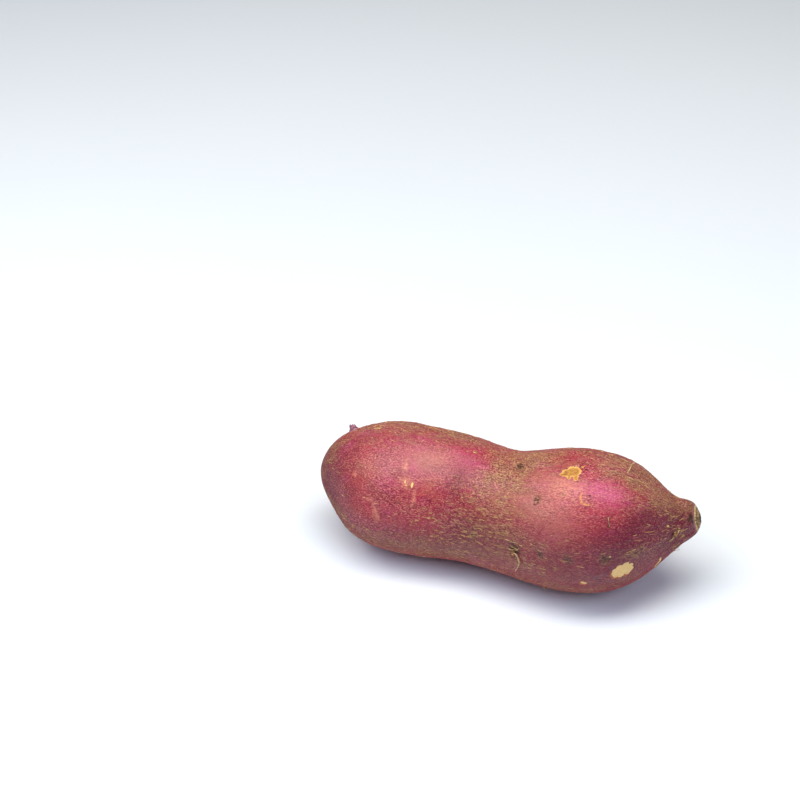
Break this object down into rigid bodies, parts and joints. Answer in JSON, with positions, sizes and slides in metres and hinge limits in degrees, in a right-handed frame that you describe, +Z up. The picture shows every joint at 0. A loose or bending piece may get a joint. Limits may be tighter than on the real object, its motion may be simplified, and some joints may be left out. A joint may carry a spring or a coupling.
{
  "type": "sweet potato",
  "caption": "Red-skinned sweet potato tuber with a blunt root end, a soft waist and a cut neck, lying on its side.",
  "frame": {"origin": "on the surface that the tuber lies on, under the middle of its box", "axes": "+X from the blunt root end to the cut neck, +Z up, and -Y towards the side that the picture shows"},
  "size_m": [0.1624, 0.0634, 0.0599],
  "materials": {
    "skin": "thin magenta-red skin with tan and brown russet strokes, soft sheen",
    "flesh": "dry cream and tan flesh and fibre, where the neck is cut and the skin is rubbed off, and the fine rootlets"
  },
  "bodies": {
    "root": {"tuber": "skin"}
  },
  "joints": []
}
